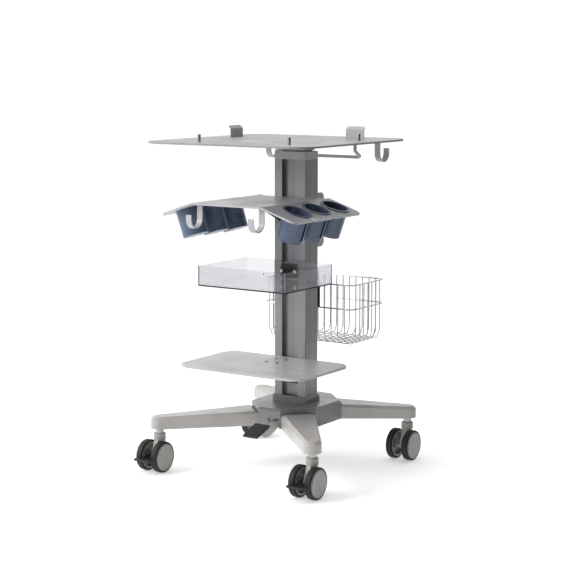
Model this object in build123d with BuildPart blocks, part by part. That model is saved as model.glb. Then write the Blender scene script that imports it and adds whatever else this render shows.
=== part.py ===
"""Height-adjustable ultrasound cart: twin-wheel base, lifting column, probe shelf, tray, basket.

Frame: +X to the cart's right, +Y to its back, +Z up. The origin lies on the floor in the middle
of the cart's bounding box. All lengths are in millimetres.
"""

import os
from math import atan2, cos, degrees, radians, sin, tan

from build123d import *

os.makedirs("parts", exist_ok=True)

# ---------------------------------------------------------------- driving dimensions
# Casters
wheel_d = 100.0
tyre_w = 22.0
wheel_gap = 36.0           # between the inner faces of the two wheels
caster_trail = 25.0        # axle ahead of the swivel axis
caster_x = 292.0           # swivel axis to the cart's middle plane
caster_front = 354.0       # front swivel axes ahead of the column axis
caster_rear = 228.0        # rear swivel axes behind the column axis
lever_gap = 4.0            # brake lever's tab ahead of the tyre
lever_tab_l = 20.0
axle_r = 5.0
pivot_r = 7.0              # swivel pin
neck_r = 19.5
neck_top = 121.0
web_t = 16.0               # caster body between the wheels
rim_r = 43.0
cap_r = 41.0
run_fit = 0.05             # radial clearance of a turning pin
face_gap = 0.4             # between faces that move past each other

# Base
arm_bottom = 137.0
arm_top_hub = 185.0
arm_top_end = 176.0
arm_end_r = 28.5
arm_edge = 8.0
arm_root_w = 112.0
hub_half_x = 127.0
hub_front = 158.0          # ahead of the column axis
hub_rear = 162.0
hub_cut = 84.0             # 45 degree corner cuts that carry the arms
hub_bottom = 138.0
hub_top = 200.0
hub_edge = 7.0
hub_wall = 8.0
hub_roof = 10.0

# Column
column_w = 121.0
column_d = 73.0
column_top = 993.5
column_r = 2.5
wall = 4.0
channel_w = 62.0
channel_depth = 16.0
rear_channel_depth = 8.0
foot_h = 21.0
foot_proud = 6.5
foot_r = 6.0
foot_edge = 4.5
cap_h = 26.0
cap_edge = 1.0
lip_d = 12.0               # hollow in the lips beside the front channel
glide_h = 60.0
glide_drop = 10.0          # upper glides below the column's top
glide_spacing = 260.0      # lower glides below the column's top

# Lift
mast_w = 98.0
mast_d = 36.0
mast_wall = 3.0
mast_r = 4.0
mast_inner_r = 2.0
mast_bottom = 240.0
mast_glide = 0.3
gas_tube_r = 14.0
gas_rod_r = 5.0
gas_tube_bottom = 262.0
gas_tube_len = 380.0
gas_rod_engaged = 330.0
release_pin_r = 2.5
tube_edge = 2.0
eye_rise = 14.0            # gas spring's upper eye above its tube
eye_w = 20.0
eye_h = 34.0
eye_r = 9.5
eye_t = 12.0
eye_pin_r = 4.0
rod_room = 5.0
valve_bore = 40.0
valve_bite = 28.0          # length of the valve pin inside the rod
valve_head = 3.0

# Top plate
top_w = 620.0
top_d = 630.0
top_r = 75.0
top_t = 6.0
top_z = 1059.0             # upper face
top_front = 424.0          # front edge ahead of the column axis
adapter_w = 106.0
adapter_d = 62.0
adapter_t = 7.0
adapter_r = 5.0
post_inset = 8.0
plate_edge = 1.2           # rounding of the plates' upper edges
hole_pitch = 80.0
hole_r = 3.3
strap_w = 34.0
strap_h = 9.0
post_r = 5.0
stud_r = 5.5
stud_h = 23.0
stud_edge = 2.0
clip_w = 68.0
clip_t = 2.5
clip_h = 28.0
clip_flare = 10.0
clip_corner = 8.0
clip_foot = 10.0           # bent under the plate
clip_left_x = -226.0
clip_left_y = -14.0
clip_left_slot = 138.0
clip_rear_x = 152.0
clip_rear_y = 113.0
clip_rear_slot = 100.0

# Hooks
hook_w = 20.0
hook_t = 3.0
hook_r = 27.0              # inside radius of the curl
hook_drop = 72.0
hook_tip = 14.0
hook_foot = 26.0
top_hook_x = 213.0
top_hook_y = 152.0
shelf_hook_x = 116.0
shelf_hook_y = -364.0

# Rear handle
handle_r = 5.5
handle_x = 118.0
handle_y = 170.0
handle_reach = 36.0
handle_mid = 1014.0
handle_low = 992.0
handle_bend = 11.0

# Probe shelf
probe_z = 873.5            # upper face of its flat part
probe_t = 6.0
probe_flat = 130.0         # bend lines each side of the middle
probe_wing = 131.0         # wing length down its slope
probe_angle = 18.5
probe_d = 355.0            # flat part, front to back
wing_back = 28.5           # wings reach further back, beside the column
probe_corner = 24.0
notch_r = 6.0
probe_arm = 140.0          # bracket under the shelf
probe_key = 80.0           # its key down the column's channel
probe_tip = 12.0
cup_pitch = 107.0
cup_first = {1: -283.0, -1: -325.0}    # front cup on the right and on the left wing
cup_count = 3              # the rearmost cup of each wing is closed, the others have a cable slot
cup_reach = 64.0           # cup axis from the bend line, down the slope
cup_top_r = 43.0
cup_bottom_r = 41.0
cup_depth = 92.0
cup_wall = 2.5
cup_lip = 4.5
cup_lip_t = 3.0
cup_slot = 15.0            # notch in the shelf's edge
cup_cut = 12.0             # slot down the cup's side
cup_fit = 0.5

# Tray
tray_w = 333.0
tray_d = 268.0
tray_h = 64.0
tray_z = 603.0
tray_wall = 4.0
tray_gap = 7.0             # from the column's face to the tray's back wall
tray_screw_x = 25.0
tray_screw_z = 30.0
tray_r = 3.0
tray_block_h = 46.0
tray_block_edge = 6.0

# Basket
basket_w = 352.0
basket_d = 210.0
basket_y = 67.0            # front of its rings behind the column axis
basket_top = 586.5
basket_ring_2 = 507.0
basket_floor = 386.0
basket_r = 22.0
ring_r = 2.5
wire_r = 1.8
wire_pitch = 25.5
wire_rise = 26.0           # slanted foot of the wires: height and run
wire_run = 12.0
wire_bend = 9.0
holder_off = 9.0           # basket's plate behind the column
holder_t = 3.0
holder_r = 6.0
finger_x = 40.0
finger_w = 14.0
weld = 0.6                 # depth to which welded wires sink into each other

# Rear bracket
cheek_reach = 37.0
cheek_t = 3.0
cheek_bottom = 708.0
cheek_top = 884.0
cheek_r = 18.0
cheek_inset = 1.0          # inside the column's sides

# Lower shelf
lower_w = 474.0
lower_d = 304.0
lower_r = 48.0
lower_t = 8.0
lower_z = 349.0            # upper face
lower_arm = 180.0          # bracket under the shelf
lower_key = 77.0
lower_tip = 8.0
lower_root = 40.0
lower_screw_x = 20.0
lower_screw_rows = (108.0, 53.0)    # ahead of the column's face

# Pedal
pedal_x = 18.0
pedal_w = 37.0
pedal_pivot_y = -60.0
pedal_pivot_z = 156.0
pedal_pin_r = 5.0
pad_w = 53.0
pad_l = 76.0
pad_t = 9.0
pad_y = -219.0             # rear edge, from the column axis
pad_z = 164.0
pad_angle = 19.0

# Button-head screws
screw_r = 3.0
screw_head_r = 5.2
screw_head_h = 3.2
screw_bite = 12.0          # length of thread in the piece that holds it

# ---------------------------------------------------------------- derived places
wheel_r = wheel_d / 2
front_reach = caster_front + caster_trail + wheel_r + lever_gap + lever_tab_l
rear_reach = basket_y + basket_d
column_y = (front_reach - rear_reach) / 2     # puts the origin in the middle of the whole cart
wheel_mid = (wheel_gap + tyre_w) / 2
column_front = column_y - column_d / 2
column_back = column_y + column_d / 2
channel_floor = column_front + channel_depth
bore_front = channel_floor + wall
bore_back = column_back - rear_channel_depth - wall
mast_y = (bore_front + bore_back) / 2
cap_top = column_top + cap_h
adapter_z = cap_top + 3.0
plate_under = top_z - top_t
corners = {
    "front_left": (-caster_x, column_y - caster_front),
    "front_right": (caster_x, column_y - caster_front),
    "rear_left": (-caster_x, column_y + caster_rear),
    "rear_right": (caster_x, column_y + caster_rear),
}


def ground(height):
    """A level plane at a height, with its origin on the column axis."""
    return Plane(origin=(0, column_y, height), x_dir=(1, 0, 0), z_dir=(0, 0, 1))


def across(x):
    """An upright plane facing +X, with its origin on the column axis: local x is Y, local y is Z."""
    return Plane(origin=(x, column_y, 0), x_dir=(0, 1, 0), z_dir=(1, 0, 0))


def facing(y):
    """An upright plane facing the front, with its origin in the middle: local x is X, local y is Z."""
    return Plane(origin=(0, column_y + y, 0), x_dir=(1, 0, 0), z_dir=(0, -1, 0))


# ================================================================ base
hub_mid = (hub_rear - hub_front) / 2


def hub_outline(inset):
    """The octagon of the hub, moved in by a wall."""
    with BuildSketch() as outline:
        with Locations((0, hub_mid)):
            Rectangle(2 * hub_half_x, hub_front + hub_rear)
        chamfer(outline.vertices(), hub_cut)
        if inset:
            offset(amount=-inset, mode=Mode.REPLACE)
    return outline.sketch


pedal_air = 1.5            # lever to the sides of its slot
slot_w = pedal_w + 2 * pedal_air
slot_top = 170.0
rod_boss_r = 16.0
rod_boss_h = 6.0
lug_t = 8.0
lug_air = 1.0              # lever to the lugs of its pin
lug_d = 24.0
lug_under = 12.0           # lug below the pin's axis
lug_out = pedal_w / 2 + lug_air + lug_t
pin_proud = 2.0

with BuildPart() as base_hub:
    with BuildSketch(ground(hub_bottom)):
        add(hub_outline(0))
    extrude(amount=hub_top - hub_bottom)
    chamfer(base_hub.faces().sort_by(Axis.Z)[-1].outer_wire().edges(), hub_edge)
    with BuildSketch(ground(hub_bottom)):
        add(hub_outline(hub_wall))
    extrude(amount=hub_top - hub_roof - hub_bottom, mode=Mode.SUBTRACT)
    # Seat of the gas spring's rod
    with BuildSketch(ground(hub_top - hub_roof)):
        with Locations((0, mast_y - column_y)):
            Circle(rod_boss_r)
    extrude(amount=-rod_boss_h)
    with BuildSketch(ground(hub_top)):
        with Locations((0, mast_y - column_y)):
            Circle(gas_rod_r)
    extrude(amount=-hub_roof - rod_boss_h, mode=Mode.SUBTRACT)
    # Slot where the pedal lever comes out of the front wall
    with BuildSketch(facing(-hub_front)):
        with Locations((pedal_x, (slot_top + hub_bottom) / 2)):
            Rectangle(slot_w, slot_top - hub_bottom)
    extrude(amount=-hub_wall, mode=Mode.SUBTRACT)
    # Two lugs that carry the pedal's pin
    for side in (-1, 1):
        with BuildSketch(across(pedal_x + side * (lug_out - lug_t / 2))):
            with Locations((pedal_pivot_y, (pedal_pivot_z - lug_under + hub_top - hub_roof) / 2)):
                Rectangle(lug_d, hub_top - hub_roof - pedal_pivot_z + lug_under)
        extrude(amount=lug_t / 2, both=True)
    with BuildSketch(across(pedal_x)):
        with Locations((pedal_pivot_y, pedal_pivot_z)):
            Circle(pedal_pin_r)
    extrude(amount=lug_out + pin_proud, both=True, mode=Mode.SUBTRACT)
base_hub.part.label = "base_hub"
export_step(base_hub.part, "parts/base_hub.step")

# The collar round the column's foot
with BuildPart() as column_foot:
    with BuildSketch(ground(hub_top)):
        RectangleRounded(column_w + 2 * foot_proud, column_d + 2 * foot_proud, foot_r)
        Rectangle(column_w, column_d, mode=Mode.SUBTRACT)
    extrude(amount=foot_h)
    outer = column_foot.faces().sort_by(Axis.Z)[-1].outer_wire().edges()
    chamfer(outer, foot_edge)
column_foot.part.label = "column_foot"
export_step(column_foot.part, "parts/column_foot.step")

stem_bore_r = 6.0
stem_rise = 26.0


def build_arm(name, stem):
    """One arm of the base, from a cut corner of the hub to its caster."""
    side = 1 if stem[0] > 0 else -1
    fore = 1 if stem[1] > column_y else -1
    edge_y = column_y + (hub_rear if fore > 0 else -hub_front)
    face_mid = Vector(side * (hub_half_x - hub_cut / 2), edge_y - fore * hub_cut / 2)
    along_face = Vector(side, -fore) * (arm_root_w / 2 / 2**0.5)
    reach = Vector(*stem) - face_mid
    slope = degrees(atan2(arm_top_hub - arm_top_end, reach.length))
    heading = degrees(atan2(reach.Y, reach.X))
    with BuildPart() as arm:
        with BuildSketch(Plane.XY.offset(arm_bottom)):
            with BuildLine():
                CenterArc(stem, arm_end_r, 0, 360)
                Line(tuple(face_mid - along_face)[:2], tuple(face_mid + along_face)[:2])
            make_hull()
        extrude(amount=2 * (arm_top_hub - arm_bottom))
        root = Location((face_mid.X, face_mid.Y, arm_top_hub), (0, 0, heading))
        lean = Plane(root * Location((0, 0, 0), (0, slope, 0)))
        split(bisect_by=lean, keep=Keep.BOTTOM)
        chamfer(arm.faces().sort_by(Axis.Z)[-1].outer_wire().edges(), arm_edge)
        with BuildSketch(Plane.XY.offset(arm_bottom)):
            with Locations(stem):
                Circle(stem_bore_r)
        extrude(amount=stem_rise, mode=Mode.SUBTRACT)
    arm.part.label = f"{name}_arm"
    export_step(arm.part, f"parts/{name}_arm.step")


for name, stem in corners.items():
    build_arm(name, stem)

# ================================================================ casters
stem_collar_r = 13.0
pivot_len = 42.0
pin_room = 1.0             # bore deeper than its pin
tyre_round = 4.0
neck_h = neck_top - wheel_d    # the neck ends level with the top of the wheels
neck_edge = 1.5
neck_inset = 0.5           # web inside the neck's outline
web_toe = 10.0             # flat under the axle boss
web_waist_x = 9.0
web_waist_z = 8.0
axle_short = 6.0           # axle end inside the wheel's outer face
axle_edge = 0.8
rim_t = 5.0
disc_t = 8.0
bore_stop = 5.0
disc_proud = 1.5
boss_r = 15.0
lever_r = 12.0
cheek_in = web_t / 2 + 0.3
lever_t = 4.0
lever_tab_w = 62.0
lever_tab_t = 6.0
lever_tab_r = 5.0
tab_low = -4.0
tab_high = 2.0
tab_drop = 5.0             # tab's underside below the axle


def build_caster(name, stem, braked):
    """A swivel caster with two wheels; the front ones carry a brake lever."""
    x, y = stem
    axle_y = y - caster_trail
    upright = Plane(origin=(x, axle_y, wheel_r), x_dir=(0, 1, 0), z_dir=(1, 0, 0))

    # Swivelling body: a round neck over a web that reaches down to the axle
    with BuildPart() as caster_body:
        with BuildSketch(Plane(origin=(x, y, neck_top))):
            Circle(neck_r)
        extrude(amount=-neck_h)
        chamfer(caster_body.faces().sort_by(Axis.Z)[-1].edges(), min(neck_edge, neck_h / 2))
        with BuildSketch(upright):
            with BuildLine():
                start = (caster_trail + neck_r - neck_inset, neck_top - neck_h - wheel_r)
                Line(start, (caster_trail - neck_r + neck_inset, start[1]))
                Line((caster_trail - neck_r + neck_inset, start[1]), (-boss_r, 0))
                RadiusArc((-boss_r, 0), (0, -boss_r), -boss_r)
                Line((0, -boss_r), (web_toe, -boss_r))
                ThreePointArc((web_toe, -boss_r), (caster_trail + neck_r - web_waist_x, web_waist_z), start)
            make_face()
        extrude(amount=web_t / 2, both=True)
        with BuildSketch(Plane(origin=(x, y, neck_top))):
            Circle(pivot_r + run_fit)
        extrude(amount=-(pivot_len + pin_room), mode=Mode.SUBTRACT)
        with BuildSketch(upright):
            Circle(axle_r)
        extrude(amount=web_t, both=True, mode=Mode.SUBTRACT)
    caster_body.part.label = f"{name}_caster_body"
    export_step(caster_body.part, f"parts/{name}_caster_body.step")

    with BuildPart() as axle:
        with BuildSketch(upright):
            Circle(axle_r)
        extrude(amount=wheel_mid + tyre_w / 2 - axle_short, both=True)
        chamfer(axle.edges().filter_by(GeomType.CIRCLE), axle_edge)
    axle.part.label = f"{name}_caster_axle"
    export_step(axle.part, f"parts/{name}_caster_axle.step")

    # A pair of hubs with flat discs outside and a recess inside
    with BuildPart() as wheels:
        for side in (-1, 1):
            inner = upright.offset(side * wheel_gap / 2)
            with BuildSketch(inner):
                Circle(rim_r)
            extrude(amount=side * tyre_w)
            with BuildSketch(inner):
                Circle(rim_r - rim_t)
                Circle(boss_r, mode=Mode.SUBTRACT)
            extrude(amount=side * (tyre_w - disc_t), mode=Mode.SUBTRACT)
            with BuildSketch(inner):
                Circle(axle_r + run_fit)
            extrude(amount=side * (tyre_w - bore_stop), mode=Mode.SUBTRACT)
            with BuildSketch(upright.offset(side * (wheel_gap / 2 + tyre_w))):
                Circle(cap_r)
            extrude(amount=side * disc_proud)
    wheels.part.label = f"{name}_wheels"
    export_step(wheels.part, f"parts/{name}_wheels.step")

    with BuildPart() as tyres:
        for side in (-1, 1):
            with BuildSketch(upright.offset(side * wheel_gap / 2)):
                Circle(wheel_r)
            extrude(amount=side * tyre_w)
        fillet(tyres.edges().filter_by(GeomType.CIRCLE), tyre_round)
        for side in (-1, 1):
            with BuildSketch(upright.offset(side * wheel_gap / 2)):
                Circle(rim_r)
            extrude(amount=side * tyre_w, mode=Mode.SUBTRACT)
    tyres.part.label = f"{name}_tyres"
    export_step(tyres.part, f"parts/{name}_tyres.step")

    if braked:
        tab_y = -(wheel_r + lever_gap)
        with BuildPart() as lever:
            for side in (-1, 1):
                with BuildSketch(upright.offset(side * (cheek_in + lever_t / 2))):
                    with BuildLine():
                        CenterArc((0, 0), lever_r, 0, 360)
                        Line((tab_y, tab_low), (tab_y, tab_high))
                    make_hull()
                    Circle(axle_r + run_fit, mode=Mode.SUBTRACT)
                extrude(amount=lever_t / 2, both=True)
            with BuildSketch(Plane(origin=(x, axle_y + tab_y - lever_tab_l / 2, wheel_r - tab_drop))):
                RectangleRounded(lever_tab_w, lever_tab_l, lever_tab_r)
            extrude(amount=lever_tab_t)
        lever.part.label = f"{name}_brake_lever"
        export_step(lever.part, f"parts/{name}_brake_lever.step")


for name, stem in corners.items():
    build_caster(name, stem, braked=name.startswith("front"))

# Threaded stud, collar and swivel pin in one turned piece, four times
with BuildPart() as caster_stems:
    for x, y in corners.values():
        with BuildSketch(Plane(origin=(x, y, arm_bottom))):
            Circle(stem_bore_r)
        extrude(amount=stem_rise)
        with BuildSketch(Plane(origin=(x, y, neck_top + face_gap))):
            Circle(stem_collar_r)
        extrude(amount=arm_bottom - neck_top - face_gap)
        with BuildSketch(Plane(origin=(x, y, neck_top + face_gap))):
            Circle(pivot_r)
        extrude(amount=-pivot_len)
caster_stems.part.label = "caster_stems"
export_step(caster_stems.part, "parts/caster_stems.step")

# ================================================================ column
mast_hole_w = mast_w + 2 * mast_glide
mast_hole_d = mast_d + 2 * mast_glide
mast_off = mast_y - column_y

with BuildPart() as column:
    with BuildSketch(ground(hub_top)):
        RectangleRounded(column_w, column_d, column_r)
        with Locations((0, -column_d / 2 + channel_depth / 2)):
            Rectangle(channel_w, channel_depth, mode=Mode.SUBTRACT)
        with Locations((0, column_d / 2 - rear_channel_depth / 2)):
            Rectangle(channel_w, rear_channel_depth, mode=Mode.SUBTRACT)
        with Locations((0, mast_off)):
            Rectangle(column_w - 2 * wall, bore_back - bore_front, mode=Mode.SUBTRACT)
        # Hollow lips either side of the two channels
        lip_w = (column_w - channel_w) / 2 - 2 * wall
        for side in (-1, 1):
            with Locations((side * (channel_w / 2 + wall + lip_w / 2), -column_d / 2 + wall + lip_d / 2)):
                Rectangle(lip_w, lip_d, mode=Mode.SUBTRACT)
    extrude(amount=column_top - hub_top)
column.part.label = "column"
export_step(column.part, "parts/column.step")

with BuildPart() as column_cap:
    with BuildSketch(ground(column_top)):
        RectangleRounded(column_w, column_d, column_r)
        with Locations((0, mast_off)):
            RectangleRounded(mast_hole_w, mast_hole_d, mast_r, mode=Mode.SUBTRACT)
    extrude(amount=cap_h)
    chamfer(column_cap.faces().sort_by(Axis.Z)[-1].outer_wire().edges(), cap_edge)
column_cap.part.label = "column_cap"
export_step(column_cap.part, "parts/column_cap.step")

# Plastic glides in the column's bore, on which the mast runs
with BuildPart() as mast_glides:
    for level in (column_top - glide_h - glide_drop, column_top - glide_h - glide_spacing):
        with BuildSketch(ground(level)):
            with Locations((0, mast_off)):
                Rectangle(column_w - 2 * wall, bore_back - bore_front)
                RectangleRounded(mast_hole_w, mast_hole_d, mast_r, mode=Mode.SUBTRACT)
        extrude(amount=glide_h)
mast_glides.part.label = "mast_glides"
export_step(mast_glides.part, "parts/mast_glides.step")

# ================================================================ lift
pin_z = gas_tube_bottom + gas_tube_len + eye_rise
with BuildPart() as mast:
    with BuildSketch(ground(mast_bottom)):
        with Locations((0, mast_off)):
            RectangleRounded(mast_w, mast_d, mast_r)
            RectangleRounded(mast_w - 2 * mast_wall, mast_d - 2 * mast_wall, mast_inner_r, mode=Mode.SUBTRACT)
    extrude(amount=adapter_z - mast_bottom)
    with BuildSketch(across(0)):
        with Locations((mast_off, pin_z)):
            Circle(eye_pin_r)
    extrude(amount=mast_w / 2, both=True, mode=Mode.SUBTRACT)
mast.part.label = "mast"
export_step(mast.part, "parts/mast.step")

with BuildPart() as gas_spring_tube:
    with BuildSketch(ground(gas_tube_bottom)):
        with Locations((0, mast_off)):
            Circle(gas_tube_r)
    extrude(amount=gas_tube_len)
    chamfer(gas_spring_tube.edges().filter_by(GeomType.CIRCLE), tube_edge)
    with BuildSketch(across(0)):
        with Locations((mast_off, pin_z - eye_rise / 2)):
            RectangleRounded(eye_w, eye_h, eye_r)
    extrude(amount=eye_t / 2, both=True)
    with BuildSketch(across(0)):
        with Locations((mast_off, pin_z)):
            Circle(eye_pin_r)
    extrude(amount=gas_tube_r, both=True, mode=Mode.SUBTRACT)
    with BuildSketch(ground(gas_tube_bottom)):
        with Locations((0, mast_off)):
            Circle(gas_rod_r + run_fit)
    extrude(amount=gas_rod_engaged + rod_room, mode=Mode.SUBTRACT)
gas_spring_tube.part.label = "gas_spring_tube"
export_step(gas_spring_tube.part, "parts/gas_spring_tube.step")

with BuildPart() as gas_spring_pin:
    with BuildSketch(across(0)):
        with Locations((mast_off, pin_z)):
            Circle(eye_pin_r)
    extrude(amount=mast_w / 2, both=True)
gas_spring_pin.part.label = "gas_spring_pin"
export_step(gas_spring_pin.part, "parts/gas_spring_pin.step")

rod_bottom = hub_top - hub_roof - rod_boss_h
with BuildPart() as gas_spring_rod:
    with BuildSketch(ground(rod_bottom)):
        with Locations((0, mast_off)):
            Circle(gas_rod_r)
    extrude(amount=gas_tube_bottom + gas_rod_engaged - rod_bottom)
    with BuildSketch(ground(rod_bottom)):
        with Locations((0, mast_off)):
            Circle(release_pin_r + run_fit)
    extrude(amount=valve_bore, mode=Mode.SUBTRACT)
gas_spring_rod.part.label = "gas_spring_rod"
export_step(gas_spring_rod.part, "parts/gas_spring_rod.step")

# The valve pin in the foot of the rod, which the pedal's tail lifts
pin_low = 171.0
with BuildPart() as release_pin:
    with BuildSketch(ground(pin_low)):
        with Locations((0, mast_off)):
            Circle(release_pin_r)
    extrude(amount=rod_bottom + valve_bite - pin_low)
    with BuildSketch(ground(pin_low)):
        with Locations((0, mast_off)):
            Circle(release_pin_r + valve_head)
    extrude(amount=valve_head)
release_pin.part.label = "release_pin"
export_step(release_pin.part, "parts/release_pin.step")

with BuildPart() as adapter_plate:
    with BuildSketch(ground(adapter_z)):
        RectangleRounded(adapter_w, adapter_d, adapter_r)
    extrude(amount=adapter_t)
adapter_plate.part.label = "adapter_plate"
export_step(adapter_plate.part, "parts/adapter_plate.step")

with BuildPart() as plate_posts:
    with BuildSketch(ground(adapter_z + adapter_t)):
        with GridLocations(adapter_w - 2 * post_inset, adapter_d - 2 * post_inset, 2, 2):
            Circle(post_r)
    extrude(amount=plate_under - adapter_z - adapter_t)
plate_posts.part.label = "plate_posts"
export_step(plate_posts.part, "parts/plate_posts.step")

# ================================================================ top plate
top_mid = top_d / 2 - top_front
studs_at = [(-150, -322), (186, -322), (239, -7)]
slot_air = 0.6
slot_room = 4.0            # slot longer than the clip's travel
strap_slots = [(-245, -350), (-30, -400), (60, -345)]

with BuildPart() as top_plate:
    with BuildSketch(ground(plate_under)):
        with Locations((0, top_mid)):
            RectangleRounded(top_w, top_d, top_r)
        with Locations((clip_left_x, clip_left_y + clip_w / 2 - clip_left_slot / 2)):
            Rectangle(clip_t + 2 * slot_air, clip_left_slot + slot_room, mode=Mode.SUBTRACT)
        with Locations((clip_rear_x - clip_w / 2 + clip_rear_slot / 2, clip_rear_y)):
            Rectangle(clip_rear_slot + slot_room, clip_t + 2 * slot_air, mode=Mode.SUBTRACT)
        # Strap slots near the front edge and loose mounting holes in the middle
        with Locations(*strap_slots):
            SlotOverall(strap_w, strap_h, mode=Mode.SUBTRACT)
        with GridLocations(hole_pitch, hole_pitch, 2, 2):
            Circle(hole_r, mode=Mode.SUBTRACT)
    extrude(amount=top_t)
    edges = top_plate.faces().sort_by(Axis.Z)[-1].outer_wire().edges()
    fillet(edges, plate_edge)
top_plate.part.label = "top_plate"
export_step(top_plate.part, "parts/top_plate.step")

with BuildPart() as locating_studs:
    for place in studs_at:
        with BuildSketch(ground(top_z)):
            with Locations(place):
                Circle(stud_r)
        extrude(amount=stud_h)
    fillet(locating_studs.faces().filter_by(Axis.Z).group_by(Axis.Z)[-1].edges(), stud_edge)
locating_studs.part.label = "locating_studs"
export_step(locating_studs.part, "parts/locating_studs.step")


def build_clip(name, plane):
    """A sheet clip in its slot; local x runs along the slot and local y away from the plate's middle."""
    lip = 0.4 * clip_t
    profile = Plane(origin=plane.origin, x_dir=plane.y_dir, z_dir=plane.x_dir)
    with BuildPart() as clip:
        with BuildSketch(profile):
            with BuildLine():
                low = -top_t - face_gap
                Polyline(
                    (-clip_t / 2, low - clip_t),
                    (clip_foot, low - clip_t),
                    (clip_foot, low),
                    (clip_t / 2, low),
                    (clip_t / 2, clip_h - lip),
                    (clip_flare + lip, clip_h + clip_flare - 2 * lip),
                    (clip_flare - lip, clip_h + clip_flare),
                    (-clip_t / 2, clip_h),
                    close=True,
                )
            make_face()
        extrude(amount=clip_w / 2, both=True)
        tip = clip.faces().filter_by(lambda f: f.area < clip_w * clip_t * 1.3).sort_by(Axis.Z)[-1]
        fillet(tip.edges().sort_by(lambda e: e.length)[:2], clip_corner)
    clip.part.label = name
    export_step(clip.part, f"parts/{name}.step")


build_clip("left_clip", Plane(
    origin=(clip_left_x, column_y + clip_left_y, top_z), x_dir=(0, 1, 0), z_dir=(0, 0, 1)))
build_clip("rear_clip", Plane(
    origin=(clip_rear_x, column_y + clip_rear_y, top_z), x_dir=(1, 0, 0), z_dir=(0, 0, 1)))

# ================================================================ hooks and handle


def build_hooks(name, half_spacing, y, under, curl):
    """A pair of strip-steel J hooks under a plate; curl is +1 towards the back and -1 to the front."""
    stem_len = hook_drop - hook_r - hook_t
    outer_r = hook_r + hook_t
    with BuildPart() as hooks:
        for side in (-1, 1):
            plane = Plane(
                origin=(side * half_spacing, column_y + y, under),
                x_dir=(0, curl, 0),
                z_dir=(curl, 0, 0),
            )
            with BuildSketch(plane):
                with BuildLine():
                    Line((-hook_foot, 0), (hook_t, 0))
                    Line((hook_t, 0), (hook_t, -stem_len))
                    CenterArc((outer_r, -stem_len), hook_r, 180, 180)
                    Line((outer_r + hook_r, -stem_len), (outer_r + hook_r, -stem_len + hook_tip))
                    Line((outer_r + hook_r, -stem_len + hook_tip), (2 * outer_r, -stem_len + hook_tip))
                    Line((2 * outer_r, -stem_len + hook_tip), (2 * outer_r, -stem_len))
                    CenterArc((outer_r, -stem_len), outer_r, 0, -180)
                    Line((0, -stem_len), (0, -hook_t))
                    Line((0, -hook_t), (-hook_foot, -hook_t))
                    Line((-hook_foot, -hook_t), (-hook_foot, 0))
                make_face()
            extrude(amount=hook_w / 2, both=True)
    hooks.part.label = name
    export_step(hooks.part, f"parts/{name}.step")


build_hooks("top_hooks", top_hook_x, top_hook_y, plate_under, 1)
build_hooks("shelf_hooks", shelf_hook_x, shelf_hook_y, probe_z - probe_t, -1)

with BuildPart() as rear_handle:
    with BuildLine() as handle_path:
        FilletPolyline(
            (-handle_x, column_y + handle_y, plate_under),
            (-handle_x, column_y + handle_y, handle_mid),
            (-handle_x, column_y + handle_y + handle_reach, handle_low),
            (handle_x, column_y + handle_y + handle_reach, handle_low),
            (handle_x, column_y + handle_y, handle_mid),
            (handle_x, column_y + handle_y, plate_under),
            radius=handle_bend,
        )
    with BuildSketch(Plane(origin=(-handle_x, column_y + handle_y, plate_under), z_dir=(0, 0, -1))):
        Circle(handle_r)
    sweep()
rear_handle.part.label = "rear_handle"
export_step(rear_handle.part, "parts/rear_handle.step")

# ================================================================ probe shelf
wing_x = probe_wing * cos(radians(probe_angle))
wing_drop = probe_wing * sin(radians(probe_angle))
probe_half = probe_flat + wing_x
probe_back = -column_d / 2
probe_front = probe_back - probe_d


def wing_plane(side):
    """The upper face of a wing: local x runs down the slope, local y to the back, origin at the bend."""
    slope = radians(probe_angle)
    return Plane(
        origin=(side * probe_flat, column_y, probe_z),
        x_dir=(side * cos(slope), 0, -sin(slope)),
        z_dir=(side * sin(slope), 0, cos(slope)),
    )


def cup_centres(side):
    """Cup axes in a wing's plane; its local y points backwards on the right and forwards on the left."""
    return [(cup_reach, side * (cup_first[side] + i * cup_pitch)) for i in range(cup_count)]


with BuildPart() as probe_shelf:
    bend = probe_t * tan(radians(probe_angle / 2))
    shift = Vector(-sin(radians(probe_angle)), -cos(radians(probe_angle))) * probe_t
    with BuildSketch(facing(probe_back + wing_back)):
        with BuildLine():
            Polyline(
                (-probe_half, probe_z - wing_drop),
                (-probe_flat, probe_z),
                (probe_flat, probe_z),
                (probe_half, probe_z - wing_drop),
                (probe_half + shift.X, probe_z - wing_drop + shift.Y),
                (probe_flat - bend, probe_z - probe_t),
                (-probe_flat + bend, probe_z - probe_t),
                (-probe_half - shift.X, probe_z - wing_drop + shift.Y),
                close=True,
            )
        make_face()
    extrude(amount=probe_d + wing_back)
    with BuildSketch(ground(probe_z - wing_drop - 2 * probe_t)):
        with Locations((0, (probe_front + probe_back + wing_back) / 2)):
            RectangleRounded(2 * probe_half, probe_d + wing_back, probe_corner)
        with Locations((0, probe_back + wing_back)):
            RectangleRounded(2 * probe_flat, 2 * wing_back, notch_r, mode=Mode.SUBTRACT)
    extrude(amount=wing_drop + 4 * probe_t, mode=Mode.INTERSECT)
    for side in (-1, 1):
        with BuildSketch(wing_plane(side)):
            with Locations(*cup_centres(side)):
                Circle(cup_top_r + cup_fit)
            for centre in cup_centres(side)[:-1]:
                with Locations((centre[0] + cup_top_r + cup_slot, centre[1])):
                    Rectangle(cup_top_r, cup_slot)
        extrude(amount=3 * probe_t, both=True, mode=Mode.SUBTRACT)
probe_shelf.part.label = "probe_shelf"
export_step(probe_shelf.part, "parts/probe_shelf.step")

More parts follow.
